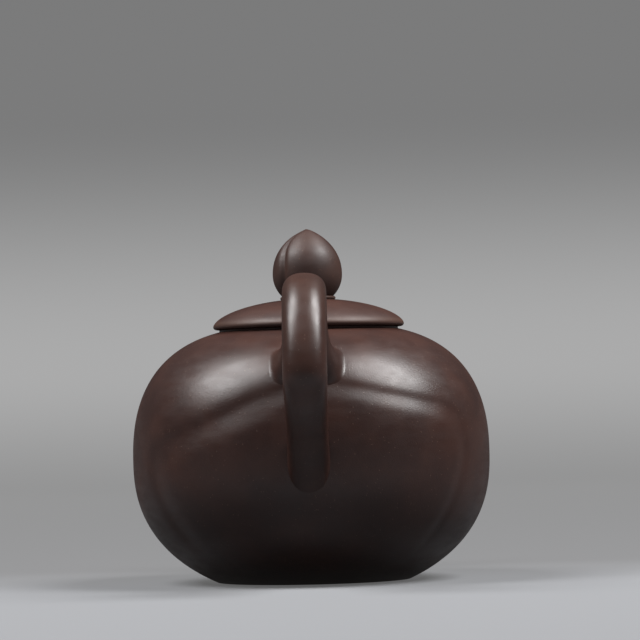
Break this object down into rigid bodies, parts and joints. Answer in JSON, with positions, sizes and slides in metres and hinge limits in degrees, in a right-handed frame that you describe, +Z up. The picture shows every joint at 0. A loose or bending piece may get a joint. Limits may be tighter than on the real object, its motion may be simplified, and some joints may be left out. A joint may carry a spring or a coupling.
{
  "type": "clay teapot",
  "caption": "Low soft-square clay teapot with raised side panels, ear handle, curved spout with a strainer, and a lift-off domed lid with a peach knob.",
  "frame": {"origin": "middle of the round foot, on the table plane; the spout and the handle reach equally far from it", "axes": "+Z up along the pot's axis, +X towards the spout's tip, handle on the -X side"},
  "size_m": [0.1559, 0.091, 0.0899],
  "materials": {
    "clay": "unglazed burnished dark brown clay with a satin sheen"
  },
  "bodies": {
    "pot": {"base_disc": "clay", "wall_spout_side": "clay", "wall_handle_side": "clay", "wall_left": "clay", "wall_right": "clay", "shoulder": "clay", "mouth_ring": "clay", "spout": "clay", "strainer": "clay", "handle": "clay"},
    "lid": {"lid_dome": "clay", "lid_flange": "clay", "knob_collar": "clay", "knob": "clay"}
  },
  "joints": [
    {"name": "lid_lift", "type": "slide", "parent": "pot", "child": "lid", "axis": [0, 0, 1], "range_m": [0, 0.06]}
  ]
}
